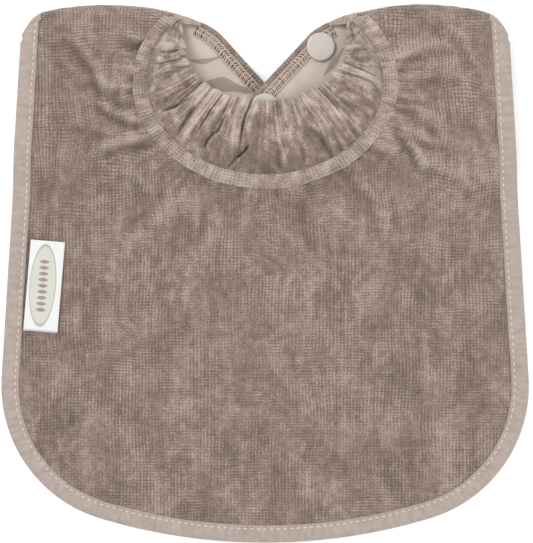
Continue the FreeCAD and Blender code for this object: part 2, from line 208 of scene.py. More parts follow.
def make_mesh(name, verts, faces, material, cloth=None, tint=None, facing="out"):
    """Mesh object from millimetre points, with its flat cloth coordinates."""
    mesh = bpy.data.meshes.new(name)
    mesh.from_pydata((np.asarray(verts, float) * MM).tolist(), [], faces)
    mesh.polygons.foreach_set("use_smooth", [True] * len(mesh.polygons))
    if cloth is not None:
        full = np.zeros((len(verts), 3), np.float32)
        full[:, :cloth.shape[1]] = cloth
        flat = mesh.attributes.new("cloth", "FLOAT_VECTOR", "POINT")
        flat.data.foreach_set("vector", full.ravel())
    if tint is not None:
        shade = mesh.attributes.new("tint", "FLOAT", "POINT")
        shade.data.foreach_set("value", np.asarray(tint, np.float32).ravel())
    mesh.materials.append(material)
    mesh.validate()
    orient(mesh, facing)
    piece = bpy.data.objects.new(name, mesh)
    bpy.context.scene.collection.objects.link(piece)
    return piece


def grid_faces(rows, cols, wrap=False):
    i, j = np.meshgrid(np.arange(rows - 1), np.arange(cols if wrap else cols - 1), indexing="ij")
    k = (j + 1) % cols
    quad = np.stack([i * cols + j, i * cols + k, (i + 1) * cols + k, (i + 1) * cols + j], -1)
    return quad.reshape(-1, 4).tolist()


def grid_piece(name, points, material, cloth, tint=None, facing="out"):
    faces = grid_faces(*points.shape[:2])
    return make_mesh(name, points.reshape(-1, 3), faces, material, cloth.reshape(-1, cloth.shape[-1]),
                     None if tint is None else tint.ravel(), facing)


# ---- materials
class Nodes:
    """Short way to write a node tree."""

    def __init__(self, name):
        self.material = bpy.data.materials.new(name)
        self.material.use_nodes = True
        self.tree = self.material.node_tree
        self.shader = self.tree.nodes["Principled BSDF"]

    def add(self, kind, inputs=None, **settings):
        node = self.tree.nodes.new("ShaderNode" + kind)
        for key, value in settings.items():
            setattr(node, key, value)
        for key, value in (inputs or {}).items():
            if isinstance(value, bpy.types.NodeSocket):
                self.tree.links.new(value, node.inputs[key])
            else:
                node.inputs[key].default_value = value
        return node

    def math(self, operation, a, b, clamp=False):
        return self.add("Math", {0: a, 1: b}, operation=operation, use_clamp=clamp).outputs[0]

    def total(self, *terms):
        """Sum of (value, weight) pairs."""
        parts = [self.math("MULTIPLY", value, weight) for value, weight in terms]
        found = parts[0]
        for part in parts[1:]:
            found = self.math("ADD", found, part)
        return found

    def wave(self, vector, scale, direction, **inputs):
        inputs = {key.replace("_", " "): value for key, value in inputs.items()}
        return self.add("TexWave", {"Vector": vector, "Scale": scale, **inputs},
                        wave_type="BANDS", bands_direction=direction).outputs["Fac"]

    def cloth(self):
        return self.add("Attribute", attribute_name="cloth").outputs["Vector"]

    def tint(self):
        return self.add("Attribute", attribute_name="tint").outputs["Fac"]

    def scaled(self, vector, x, y, z=1.0):
        return self.add("Mapping", {"Vector": vector, "Scale": (x, y, z)}).outputs["Vector"]

    def noise(self, vector, scale, detail=2.0, rough=0.5):
        return self.add("TexNoise", {"Vector": vector, "Scale": scale, "Detail": detail,
                                     "Roughness": rough}).outputs["Fac"]

    def ramp(self, value, stops):
        node = self.add("ValToRGB", {"Fac": value})
        band = node.color_ramp
        while len(band.elements) < len(stops):
            band.elements.new(0.5)
        for element, (place, color) in zip(band.elements, stops):
            element.position = place
            element.color = (*color, 1)
        return node.outputs["Color"]

    def bump(self, height, strength, distance, normal=None):
        inputs = {"Height": height, "Strength": strength, "Distance": distance}
        if normal is not None:
            inputs["Normal"] = normal
        return self.add("Bump", inputs).outputs["Normal"]

    def mix(self, factor, a, b, blend="MIX"):
        node = self.add("Mix", data_type="RGBA", blend_type=blend)
        for socket, value in ((node.inputs[0], factor), (node.inputs[6], a), (node.inputs[7], b)):
            if isinstance(value, bpy.types.NodeSocket):
                self.tree.links.new(value, socket)
            else:
                socket.default_value = value
        return node.outputs[2]

    def finish(self, color, rough, normal=None, sheen=0.0):
        for key, value in (("Base Color", color), ("Roughness", rough), ("Normal", normal)):
            if isinstance(value, bpy.types.NodeSocket):
                self.tree.links.new(value, self.shader.inputs[key])
            elif value is not None:
                self.shader.inputs[key].default_value = value
        self.shader.inputs["Sheen Weight"].default_value = sheen
        self.shader.inputs["Sheen Roughness"].default_value = 0.5
        return self.material


def towelling_material(name, dark, middle, light, ribs=1.0, span=0.33):
    """Velour towelling: fine ribs and loop rows that come and go, and a crushed pile."""
    m = Nodes(name)
    cloth = m.cloth()
    patches = m.noise(m.scaled(cloth, 1.0, 0.8), 0.07, 4.0, 0.6)
    streaks = m.noise(m.scaled(cloth, 1.0, 0.20), 0.34, 4.0, 0.65)
    crushed = m.noise(cloth, 0.28, 4.0, 0.65)
    grain = m.noise(m.scaled(cloth, 1.0, 0.8), 1.9, 3.0, 0.75)
    columns = m.wave(cloth, 0.213, "X", Distortion=2.2, Detail=3.0, Detail_Scale=1.6)
    rows = m.wave(cloth, 0.24, "Y", Distortion=3.0, Detail=3.0, Detail_Scale=1.5)
    rib_zone = m.ramp(m.noise(cloth, 0.045, 3.0, 0.6), [(0.38, (0.12, 0.12, 0.12)), (0.62, (1, 1, 1))])
    row_zone = m.ramp(m.noise(m.scaled(cloth, 1.3, 1.3, 40.0), 0.05, 3.0, 0.6),
                      [(0.38, (0.1, 0.1, 0.1)), (0.60, (1, 1, 1))])
    columns = m.math("MULTIPLY", m.math("SUBTRACT", columns, 0.5), rib_zone)
    rows = m.math("MULTIPLY", m.math("SUBTRACT", rows, 0.5), row_zone)
    pile = m.math("MULTIPLY", m.math("ADD", columns, m.math("MULTIPLY", rows, 0.85)), ribs)
    # The tint attribute adds each piece's offset: painted shade and light with random tone on the panel and
    # collar.
    tone = m.total((patches, 0.7), (streaks, 0.45), (crushed, 0.7), (grain, 1.5), (pile, 0.27),
                   (m.tint(), 1.0))
    tone = m.math("SUBTRACT", tone, 1.175)
    color = m.ramp(tone, [(0.5 - span, dark), (0.5, middle), (0.5 + span, light)])
    fine = m.bump(m.math("ADD", grain, m.math("MULTIPLY", crushed, 0.5)), 0.7, 0.0006)
    normal = m.bump(pile, 0.6, 0.0006, fine)
    return m.finish(color, 0.95, normal, 0.25)


def lining_material():
    """Coated woven lining with a darker brush-stroke print."""
    m = Nodes("printed_lining")
    cloth = m.cloth()
    weave = m.add("TexChecker", {"Vector": cloth, "Scale": 2.6}).outputs["Fac"]
    cloud = m.noise(cloth, 0.05, 3.0, 0.5)
    inked = m.tint()
    base = m.ramp(m.math("ADD", cloud, m.math("MULTIPLY", weave, 0.03)),
                  [(0.3, (0.375, 0.313, 0.272)), (0.7, (0.475, 0.402, 0.357))])
    color = m.mix(inked, base, (0.235, 0.188, 0.157, 1))
    normal = m.bump(m.math("ADD", m.math("MULTIPLY", weave, 0.2), m.noise(cloth, 0.22, 2.0)), 0.25, 0.0006)
    return m.finish(color, 0.5, normal, 0.05)


def binding_material(name, dark, light):
    """Smooth brushed-knit binding with faint streaks across its width."""
    m = Nodes(name)
    cloth = m.cloth()
    streak = m.noise(m.scaled(cloth, 0.9, 0.3), 0.5, 3.0, 0.6)
    fine = m.noise(cloth, 2.4, 2.0, 0.6)
    knit = m.wave(cloth, 0.5, "DIAGONAL", Distortion=0.8, Detail=1.0)
    tone = m.total((streak, 0.6), (fine, 0.35), (knit, 0.08))
    color = m.ramp(tone, [(0.28, dark), (0.72, light)])
    normal = m.bump(m.math("ADD", fine, m.math("MULTIPLY", knit, 0.5)), 0.35, 0.0003)
    return m.finish(color, 0.8, normal, 0.2)


def thread_material(name, color):
    m = Nodes(name)
    cloth = m.cloth()
    twist = m.wave(cloth, 1.2, "DIAGONAL", Distortion=0.5)
    shade = m.mix(m.math("MULTIPLY", twist, 0.35), (*color, 1), (*[c * 0.7 for c in color], 1))
    return m.finish(shade, 0.6, m.bump(twist, 0.4, 0.0001), 0.1)


def snap_material():
    m = Nodes("snap_plastic")
    where = m.add("TexCoord").outputs["Object"]
    cloud = m.noise(where, 260.0, 2.0)
    color = m.ramp(cloud, [(0.3, (0.395, 0.347, 0.312)), (0.7, (0.415, 0.366, 0.330))])
    gloss = m.add("MapRange", {"Value": m.noise(where, 900.0, 2.0), "To Min": 0.24, "To Max": 0.34})
    return m.finish(color, gloss.outputs[0], m.bump(m.noise(where, 500.0, 1.0), 0.06, 0.0002))


def label_material(length, width):
    """White satin label with a pale oval and a plain row of leaves."""
    m = Nodes("woven_label")
    cloth = m.cloth()
    parts = m.add("SeparateXYZ", {"Vector": cloth}).outputs
    across = m.math("DIVIDE", m.math("SUBTRACT", parts[0], width * 0.47), width * 0.40)
    along = m.math("DIVIDE", m.math("SUBTRACT", parts[1], length * 0.5), length * 0.465)
    radius = m.math("SQRT", m.math("ADD", m.math("POWER", m.math("ABSOLUTE", across, 0), 2.0),
                                   m.math("POWER", m.math("ABSOLUTE", along, 0), 2.0)), 0)
    inside = m.math("LESS_THAN", radius, 1.0)
    core = m.math("LESS_THAN", radius, 0.93)
    step = m.math("PINGPONG", parts[1], 2.6)
    lean = m.math("ABSOLUTE", m.math("SUBTRACT", step, 1.3), 0)
    taper = m.math("MULTIPLY", m.math("POWER", across, 2.0), 5.5)
    leaf = m.math("LESS_THAN", m.math("ADD", taper, lean), 0.85)
    reach = m.math("LESS_THAN", m.math("ABSOLUTE", along, 0), 0.655)
    leaf = m.math("MULTIPLY", leaf, reach)
    satin = m.wave(cloth, 1.6, "DIAGONAL", Distortion=0.3)
    white = m.mix(m.math("MULTIPLY", satin, 0.5), (0.55, 0.555, 0.545, 1), (0.50, 0.51, 0.505, 1))
    color = m.mix(inside, white, (0.31, 0.30, 0.275, 1))
    color = m.mix(core, color, (0.42, 0.425, 0.37, 1))
    color = m.mix(leaf, color, (0.22, 0.165, 0.165, 1))
    return m.finish(color, 0.45, m.bump(satin, 0.2, 0.0001), 0.1)


DARK, MIDDLE, LIGHT = (0.086, 0.057, 0.043), (0.179, 0.126, 0.099), (0.345, 0.270, 0.225)
towelling = towelling_material("towelling", DARK, MIDDLE, LIGHT)
lining = lining_material()
binding = binding_material("binding", (0.20, 0.158, 0.132), (0.355, 0.298, 0.262))
# The collar's copy of the towelling: darker darks, lighter lights and a wider span, to carry its painted
# pleat shade and light; weaker ribs.
gathered_towelling = towelling_material("gathered_towelling", (0.060, 0.039, 0.029), MIDDLE,
                                        (0.46, 0.372, 0.315), 0.35, 0.5)
roll_towelling = towelling_material("roll_towelling", (0.145, 0.103, 0.081), (0.285, 0.219, 0.180),
                                    (0.43, 0.35, 0.30))
cream_thread = thread_material("cream_thread", (0.52, 0.455, 0.40))
overlock_thread = thread_material("overlock_thread", (0.48, 0.39, 0.335))
snap_plastic = snap_material()


# ---- outline of the body
def corner_centre():
    x = HALF_WIDTH - CORNER_RADIUS
    return x, BOTTOM_Y + BOTTOM_RADIUS - math.sqrt((BOTTOM_RADIUS - CORNER_RADIUS) ** 2 - x ** 2)


def outer_path(count):
    """Bottom middle round to the right-hand crest, as points and outward normals."""
    cx, cy = corner_centre()
    reach = math.hypot(SHOULDER_X - cx, CREST_Y - cy)
    turn = math.atan2(CREST_Y - cy, SHOULDER_X - cx) - math.acos(CORNER_RADIUS / reach)
    low = math.atan2(cy - BOTTOM_Y - BOTTOM_RADIUS, cx)
    a = np.linspace(-math.pi / 2, low, 60)
    middle_y = BOTTOM_Y + BOTTOM_RADIUS
    bottom = np.stack([BOTTOM_RADIUS * np.cos(a), middle_y + BOTTOM_RADIUS * np.sin(a)], 1)
    b = np.linspace(low, turn, 60)
    corner = np.stack([cx + CORNER_RADIUS * np.cos(b), cy + CORNER_RADIUS * np.sin(b)], 1)
    path = np.concatenate([bottom, corner[1:], [[SHOULDER_X, CREST_Y]]])
    return resample(path, count)


def crest_y(x):
    """Height in Y of the shoulder fold at x, rounded at its outer corner."""
    x = np.abs(np.asarray(x, float))
    arc = CREST_Y - CREST_RADIUS + np.sqrt(CREST_RADIUS ** 2 - (x - CREST_X) ** 2)
    past = np.clip(x - (SHOULDER_X - SHOULDER_ROUND), 0, SHOULDER_ROUND)
    return arc - (SHOULDER_ROUND - np.sqrt(SHOULDER_ROUND ** 2 - past ** 2))


def fold_reach(x):
    """Radius of the shoulder fold at x, smaller at its outer corner."""
    return FOLD_RADIUS * (1 - 0.6 * smooth(SHOULDER_X - 7.0, SHOULDER_X - 0.5, np.abs(x)))


def strap_top(x):
    """Where a strap runs out under the shoulder fold; free of it beside the neck opening."""
    near_end = fold_reach(x) * smooth(29.0, 33.0, np.abs(x)) + 0.25
    return np.where(np.abs(x) > 26.0, crest_y(x) - near_end, 200.0)


def body_height(y):
    return ramp(y, SNAP_Y - BODY_RAMP_START, SNAP_Y - BODY_RAMP_END, 0.0, BODY_LIFT)


def neck_point(turn, spread=0.0):
    return np.stack([(NECK_A + spread) * np.sin(turn), NECK_Y - (NECK_B + spread) * np.cos(turn)], -1)


SEAM_END = math.pi - math.asin(NECK_END_X / NECK_A)


# ---- creases of the panel
def crease(x, y, ax, ay, bx, by, width, depth, bow=0.0):
    """A soft valley with a raised lip beside it, from a to b."""
    run = np.array([bx - ax, by - ay])
    length = np.hypot(*run)
    run = run / length
    u = (x - ax) * run[0] + (y - ay) * run[1]
    v = -(x - ax) * run[1] + (y - ay) * run[0] - bow * np.sin(np.pi * np.clip(u / length, 0, 1))
    ends = smooth(-width, width * 1.5, u) * (1 - smooth(length - width * 1.5, length + width, u))
    valley = -np.exp(-(v / width) ** 2) + 0.75 * np.exp(-((v - 1.9 * width) / (1.2 * width)) ** 2)
    return depth * ends * valley


CREASES = [
    # left shoulder: start, end, width, depth, bow
    (-86, 101, -70, 74, 1.8, 0.5, 2), (-89, 91, -80, 80, 1.6, 0.35, 0), (-73, 72, -54, 63, 1.7, 0.8, -1.5),
    (-79, 82, -62, 72, 2.2, 0.5, 2), (-70, 50, -49, 55, 1.9, 0.75, 1.5), (-64, 88, -53, 83, 1.8, 0.5, 0),
    (-60, 99, -47, 98, 2.0, 0.45, 0), (-84, 62, -68, 59, 2.0, 0.35, 1), (-62, 42, -50, 32, 2.2, 0.4, 1),
    # right shoulder
    (55, 61, 66, 44, 1.7, 0.9, 1.5), (56, 63, 75, 53, 1.8, 0.6, -1.5), (58, 71, 77, 53, 2.0, 0.5, 2.5),
    (57, 88, 80, 96, 2.2, 0.45, 2), (70, 108, 88, 88, 2.4, 0.4, 3), (60, 80, 84, 83, 2.2, 0.4, 1),
    (88, 66, 98, 44, 2.0, 0.35, 1), (66, 45, 88, 34, 2.4, 0.4, 2),
    # below the collar
    (-24, 32, -33, 12, 2.4, 0.4, 2), (16, 32, 22, 8, 2.4, 0.35, -2), (38, 38, 50, 16, 2.4, 0.4, 2),
    (-44, 36, -62, 18, 2.6, 0.4, 2), (-8, 10, 6, 3, 0.6, -0.25, 0.4),
]


def panel_relief(x, y):
    """Height of the panel's creases, gathers and pile, and a tint of painted shade and light with random
    patches of tone.
    """
    base = 0.30 * noise(x, y, 26, 1) + 0.18 * noise(x, y, 11, 2) + 0.07 * noise(x, y, 4, 3)
    base = base * (0.6 + 0.9 * smooth(-10, 60, y))
    turn = np.arctan2(x, -(y - NECK_Y) * NECK_A / NECK_B)
    out = np.hypot(x / NECK_A, (y - NECK_Y) / NECK_B)
    near = np.exp(-((out - 1.12) / 0.26) ** 2)
    gathers = noise(turn * 30, out * 2.2, 1.9, 7) + 0.7 * noise(turn * 30, out * 3, 0.9, 8)
    folds = sum(crease(x, y, *c) for c in CREASES)
    relief = base + 0.75 * gathers * near + 1.5 * folds
    patches = (noise(x, y, 15, 51) * 0.6 + noise(x * 1.5, y * 0.8, 9, 52) * 0.5
               + noise(x, y * 0.5, 5, 53) * 0.3)
    # Painted shade in the creases' valleys, painted light on their lips and along the gathers by the neck,
    # and random patches of tone.
    shade = 0.34 * np.clip(folds, -1.0, 0.7) + 0.15 * gathers * near + 0.07 * patches
    # Painted light towards the upper right.
    shade = shade + 0.06 * smooth(20, 90, x) * smooth(20, 60, y) - 0.02
    return relief, shade


def edge_fade(inset):
    """1 over the panel, sinking to 0 where the binding holds it down."""
    return smooth(BINDING_WIDTH - 2.0, BINDING_WIDTH + 9.0, inset)


# ---- the lining's print
STROKES = [  # start, end, full width, bow: tapering brush strokes
    (-33.5, 92.8, -17.5, 93.4, 2.0, -1.2), (-27.0, 82.6, -6.0, 79.4, 5.2, 0.8),
    (34.0, 98.0, 25.5, 85.4, 2.4, 0.3),
]


def brush_print(x, y, own=()):
    """1 inside a brush stroke of the print and 0 outside."""
    ink = np.zeros(np.shape(x))
    for ax, ay, bx, by, width, bow in own:
        run = np.array([bx - ax, by - ay])
        length = np.hypot(*run)
        u = ((x - ax) * run[0] + (y - ay) * run[1]) / length ** 2
        v = (-(x - ax) * run[1] + (y - ay) * run[0]) / length
        inside = np.clip(u, 0, 1)
        half = width / 2 * np.sin(np.pi * inside) ** 0.6 * (1 + 0.25 * np.sin(9 * inside + ax))
        v = v - bow * np.sin(np.pi * inside * 1.3)
        ink = np.maximum(ink, ((u > 0) & (u < 1)) * smooth(0.25, -0.25, np.abs(v) - half))
    far = smooth(44, 48, np.abs(x)) if own else np.ones(np.shape(x))
    level = y + 5 * np.sin(x / 15.0 + 0.6) + 3 * noise(x, y, 40, 56)
    row = np.floor(level / 17.0)
    middle = (row + 0.5) * 17.0
    swell = np.clip(np.sin((x + 31 * row) / 13.0) + 0.25, 0, 1.3)
    return np.maximum(ink, far * smooth(0.25, -0.25, np.abs(level - middle) - 2.1 * swell) * (swell > 0.05))


# ---- front panel and lining
def panel_grid(count_t, count_f, inset):
    """Plan points of the U-shaped panel between the neck seam and its outer edge."""
    half = outer_path(count_t // 2 + 1)
    normal = normals_2d(half) * -1
    half = half - normal * inset
    half[:, 1] = np.minimum(half[:, 1], crest_y(half[:, 0]))
    outer = np.concatenate([half[:0:-1] * [-1, 1], half])
    t = np.linspace(-1, 1, len(outer))
    inner = neck_point(SEAM_END * t)
    f = np.linspace(0, 1, count_f)[None, :, None]
    plan = inner[:, None] * (1 - f) + outer[:, None] * f
    top = crest_y(plan[:, :, 0]) - FOLD_RADIUS
    short = top - plan[:, :, 1]
    lift = np.where((t < 0)[:, None], short[[0]], short[[-1]])
    plan[:, :, 1] += lift * smooth(0.78, 1.0, np.abs(t))[:, None] ** 2
    plan[:, :, 1] = np.minimum(plan[:, :, 1], top)
    return plan


def distance_in(plan):
    """Distance of each plan point from the sides and bottom of the outline."""
    path = outer_path(400)
    path = np.concatenate([path[:0:-1] * [-1, 1], path])
    tree = KDTree(len(path))
    for i, (x, y) in enumerate(path):
        tree.insert((x, y, 0), i)
    tree.balance()
    flat = plan.reshape(-1, 2)
    return np.array([tree.find((x, y, 0))[2] for x, y in flat]).reshape(plan.shape[:2])


plan = panel_grid(700, 230, BINDING_WIDTH - 1.2)
x, y = plan[..., 0], plan[..., 1]
fade = edge_fade(distance_in(plan))
at_crest = smooth(0, 6, crest_y(x) - FOLD_RADIUS - y)
# The second value is the panel's painted shade and light, with random tone.
relief, panel_shade_and_tone = panel_relief(x, y)
z = TOWEL_TOP + body_height(y) + relief * fade * at_crest - 0.25 * (1 - fade)
pulled = np.stack([2.2 * noise(x, y, 21, 58) - 0.8 * relief,
                   1.8 * noise(x, y, 17, 59) + 0.8 * relief], -1)
pulled = pulled * (0.3 + 0.7 * smooth(-15, 45, y))[..., None]
panel = grid_piece("front_towelling", np.stack([x, y, z], -1), towelling, plan + pulled,
                   tint=panel_shade_and_tone, facing="up")
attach(panel, "bib_body")
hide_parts("front_panel")

plan = panel_grid(560, 200, 1.0)
x, y = plan[..., 0], plan[..., 1]
z = LINING_UNDER + body_height(y) + 0.1 * noise(x, y, 17, 5) * smooth(3, 20, CREST_Y - y)
back = grid_piece("back_lining_sheet", np.stack([x, y, z], -1), lining, plan,
                  tint=brush_print(x, y), facing="down")
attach(back, "bib_body")
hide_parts("back_lining")


# ---- bands swept along an edge
def sweep(path, profile, height, wobble=0.0, seed=0):
    """Points of a band whose profile is (inset, z) from the path, and its flat coordinates."""
    profile = np.array(profile, float)
    inward = normals_2d(path)
    along, across = lengths(path), lengths(profile)
    shift = wobble * noise(along, 0 * along, 9, seed)
    inset = profile[None, :, 0] + shift[:, None] * (profile[None, :, 0] > 1)
    plan = path[:, None, :2] + inward[:, None, :] * inset[..., None]
    plan[..., 1] = np.minimum(plan[..., 1], strap_top(plan[..., 0]))
    z = profile[None, :, 1] + height(plan[..., 0], plan[..., 1])
    cloth = np.stack(np.broadcast_arrays(along[:, None], across[None, :]), -1)
    return np.concatenate([plan, z[..., None]], -1), cloth


def stitches(name, path, inset, z, height, radius=0.24, length=1.7):
    """A run of separate stitches along a path, each a short bowed thread."""
    inward = normals_2d(path)
    line = path[:, :2] + inward * inset
    spots = resample(line, int(lengths(line)[-1] / STITCH_PITCH))
    tangent, side = tangents(spots), normals_2d(spots)
    rings = np.array([(-1.0, 0.35), (-0.8, 0.8), (-0.4, 1.0), (0.4, 1.0), (0.8, 0.8), (1.0, 0.35)])
    verts, faces, cloth = [], [], []
    for i, spot in enumerate(spots):
        if spot[1] > strap_top(spot[0]) - 0.5 * length:
            continue
        half = length / 2 * (1 + 0.12 * noise(i * 3.1, 0, 1, 31))
        slant = 0.10 * noise(i * 1.7, 0, 1, 32)
        base = len(verts)
        level = z + float(height(spot[0], spot[1]))
        for a, swell in rings:
            middle = spot + tangent[i] * a * half + side[i] * slant * a
            for k in range(7):
                turn = 2 * math.pi * k / 7
                p = middle + side[i] * radius * 1.25 * swell * math.cos(turn)
                drop = -0.42 * a * a * radius
                verts.append((p[0], p[1], level + drop + radius * swell * math.sin(turn)))
                cloth.append((a * half + i * STITCH_PITCH, turn * radius))
        for r in range(len(rings) - 1):
            for k in range(7):
                a0, a1 = base + r * 7 + k, base + r * 7 + (k + 1) % 7
                faces.append((a0, a1, a1 + 7, a0 + 7))
        faces.append(tuple(base + k for k in range(7))[::-1])
        faces.append(tuple(base + 35 + k for k in range(7)))
    return make_mesh(name, verts, faces, cream_thread, np.array(cloth))


def above_body(x, y):
    """The body's height in the form that sweep and stitches call."""
    return body_height(y)


BINDING_PROFILE = [  # inset from the edge, height
    (BINDING_WIDTH, 2.2), (BINDING_WIDTH - 0.1, 2.75), (7.1, 2.98), (6.6, 2.86), (STITCH_INSET, 2.62),
    (5.6, 2.84), (4.8, 3.05), (3.4, 3.14), (2.0, 3.04), (1.0, 2.74), (0.35, 2.2), (0.0, 1.45), (0.3, 0.7),
    (1.0, 0.22), (2.2, 0.06), (5.4, 0.04), (STITCH_INSET, 0.2), (6.8, 0.06), (7.6, 0.1),
    (BINDING_WIDTH, 0.45),
]
half_path = outer_path(420)
body_path = np.concatenate([half_path[:0:-1] * [-1, 1], half_path])
points, cloth = sweep(body_path, BINDING_PROFILE, above_body, wobble=0.12, seed=11)
u, v = cloth[..., 0], cloth[..., 1]
puckers = 0.07 * noise(u, v, STITCH_PITCH, 12) + 0.10 * noise(u, 0 * u, 14, 13)
points[..., 2] += puckers * (points[..., 2] > 1.5) * smooth(0.3, 2.5, v)
edge = grid_piece("edge_binding_strip", points, binding, cloth)
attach(edge, "bib_body")
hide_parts("edge_binding")
edge_stitches = stitches("binding_stitches", body_path, STITCH_INSET, STITCH_LEVEL, above_body)
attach(edge_stitches, "bib_body")
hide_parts("binding_stitching")
back_stitches = stitches("binding_stitches_back", body_path, STITCH_INSET, 0.12, above_body, radius=0.2)
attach(back_stitches, "bib_body")


# ---- roll over the neck seam
t = np.linspace(-1, 1, 420)
turn = SEAM_END * t
profile = np.linspace(0, 1, 22)
width = ROLL_WIDTH + 0.5 + 0.5 * smooth(0.4, 1.4, turn) + 0.30 * noise(t * 40, 0 * t, 2.3, 21)
spread = -0.9 + profile[None, :] * (width[:, None] + 0.9)
plan = neck_point(np.broadcast_to(turn[:, None], spread.shape), spread)
arch = np.sin(np.pi * np.clip(profile, 0, 1)) ** 0.55
arch[0], arch[-1] = -0.15, -0.15
roll_cloth = np.stack(np.broadcast_arrays((turn * 48)[:, None], profile[None, :] * 6.5), -1)
u, v = roll_cloth[..., 0], roll_cloth[..., 1]
bulge = 1.45 + 0.28 * noise(u, v, 3.5, 22) + 0.14 * noise(u, v, 1.4, 23)
z = TOWEL_TOP + body_height(plan[..., 1]) + bulge * arch[None, :]
plan[..., 1] = np.minimum(plan[..., 1], crest_y(plan[..., 0]) - FOLD_RADIUS + 0.4)
roll_tint = (0.10 * noise(u, v * 0.4, 3.0, 24) + 0.13 * noise(u, v * 0.2, 1.1, 25)
             - 0.10 * smooth(-0.5, -1.2, turn)[:, None])
roll = grid_piece("neck_roll_bead", np.concatenate([plan, z[..., None]], -1), roll_towelling, roll_cloth,
                  tint=roll_tint, facing="up")
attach(roll, "bib_body")
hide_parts("neck_roll")


# ---- gathered collar
EDGE_A, EDGE_B = 35.0, 25.0
EDGE_Y = SNAP_Y + 2.6 + EDGE_B
EDGE_TURN = math.radians(97)
PLEATS = 27
t = np.linspace(-1, 1, 1000)
steps = np.r_[np.linspace(0, 1, 80), np.linspace(1, 1, 9)[1:], np.linspace(1, 0, 30)[1:]]
layer = np.r_[np.zeros(80), np.linspace(0, 1, 9)[1:], np.ones(29)]
T, F = np.meshgrid(t, steps, indexing="ij")
LAYER = np.broadcast_to(layer, T.shape)
end = smooth(0.91, 1.0, np.abs(T))
seam = neck_point(SEAM_END * T, -0.3)
free = np.stack([EDGE_A * np.sin(EDGE_TURN * T), EDGE_Y - EDGE_B * np.cos(EDGE_TURN * T)], -1)
free[..., 1] += 7.0 * end
seam[..., 1] += 1.0 * end
warp = T + 0.022 * noise(T * 11, F * 1.7, 1.0, 41) + 0.012 * noise(T * 30, F * 2.6, 1.0, 42)
count = (warp + 1) / 2 * PLEATS
index = np.floor(count)
arch = np.abs(np.sin(np.pi * count)) ** 0.55
tall = 0.62 + 0.55 * lattice(index, 0 * index, 43)
begin = 0.20 + 0.24 * lattice(index, 0 * index, 44)
rise = smooth(begin - 0.22, begin + 0.40, F)
pleat = arch * tall * rise * (1 - 0.75 * end)
fine = np.abs(np.sin(np.pi * count * 2.3 + 2.2 * noise(T * 10, F * 2, 1, 45))) ** 0.7
lumps = noise(T * 15, F * 4.2, 1, 46) + 0.6 * noise(T * 33, F * 8, 1, 49)
base = body_height(seam[..., 1]) + LINING_UNDER
edge_z = COLLAR_RISE - 1.6 * T ** 2 - 4.3 * end
curve = 1 - (1 - F) ** 4.15
under_z = base + (edge_z - base) * curve
side_on = 1 - smooth(0.3, 0.9, LAYER)
relief = (2.2 * (pleat - 0.4 * rise) + 0.60 * (fine - 0.5) * rise + 0.65 * lumps * smooth(0.05, 0.3, F)
          + 0.16 * noise(T * 95, F * 31, 1.7, 47))
scallop = (1.5 * pleat - 0.5 + 0.7 * noise(T * 12, 0 * T, 1, 48)) * smooth(0.4, 1.0, F)
outward = free - seam
length = np.linalg.norm(outward, axis=-1, keepdims=True)
outward = outward / length
roll_out = np.sin(np.pi * LAYER) * 1.2 * (F > 0.999)
shift = scallop + roll_out - 1.2 * smooth(0.6, 1, F)
plan = seam + outward * (length * F[..., None] + shift[..., None])
x, y = plan[..., 0], plan[..., 1]
TUCKS = [  # as CREASES
    (-18, 66.5, -21, 60, 0.55, 1.1, 0.5), (-21, 61, -26, 54, 0.6, 1.2, -0.7),
    (-7, 55, -12, 50, 0.55, 1.5, 0.4), (-12, 50.5, -16, 46, 0.7, 1.0, 0), (-33, 75, -44, 70, 0.6, 1.2, 0.8),
    (12, 61, 17, 47, 1.0, 1.0, 0.8), (19, 63, 29, 50, 0.9, 1.1, 1), (23, 66, 34, 52, 1.0, 0.9, 0.6),
    (28, 68, 41, 58, 1.0, 1.0, 1), (33, 74, 45, 67, 1.0, 0.8, 0.7), (35, 80, 45, 77, 1.1, 0.7, 1),
    (-9, 69, -10, 61, 0.9, 0.8, 0), (-34, 89, -46, 84, 1.2, 1.0, 1), (-30, 72, -37, 60, 1.1, 0.9, 0),
    (4, 57, 6, 46, 1.2, 0.9, 0.5), (-26, 67, -32, 59, 0.9, 0.8, 0), (33, 92, 42, 96, 1.1, 0.6, 0.6),
]
tucks = sum(crease(x, y, *c) for c in TUCKS) * (1 - end)
z = under_z + 2.4 * (1 - LAYER) + (relief + tucks) * side_on + 0.4 * (pleat - 0.3) * (1 - side_on)
z = np.where(LAYER > 0.9, np.minimum(z, under_z + 0.5), z)
collar_cloth = np.stack([T * 104, F * 31 + LAYER * 4], -1)
# Centre of the collar's bottom, where painted shade darkens it next to the seam.
bottom = np.exp(-(T / 0.42) ** 2)
# Painted light on the pleat ridges, lumps and tuck lips; painted shade in the pleat valleys and tucks and
# across the bottom next to the seam; lighter towards the free edge and ends; random tone from noise.
shade = (0.24 * (pleat - 0.36 * rise) + 0.16 * (fine - 0.5) * rise + 0.10 * lumps
         + 0.09 * noise(T * 95, F * 20, 2.6, 71) + 0.08 * noise(T * 95, F * 22, 1.3, 72)
         + 0.10 * smooth(0.72, 1, F) + 0.13 * np.clip(tucks, -1.6, 1)
         - 0.14 * bottom * (1 - smooth(0.15, 0.6, F)) + 0.01 * (1 - bottom) + 0.04 * end)
# The collar's tint is that painted shade and light, set only on the face that shows.
collar_shade_and_tone = 0.05 + 1.25 * shade * side_on
points = np.stack([x, y, z], -1)
points[..., 1] = np.minimum(points[..., 1], crest_y(points[..., 0]) - FOLD_RADIUS + 0.3)
collar = grid_piece("gathered_collar", points, gathered_towelling, collar_cloth,
                    tint=collar_shade_and_tone)
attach(collar, "bib_body")
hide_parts("collar", "collar_elastic")


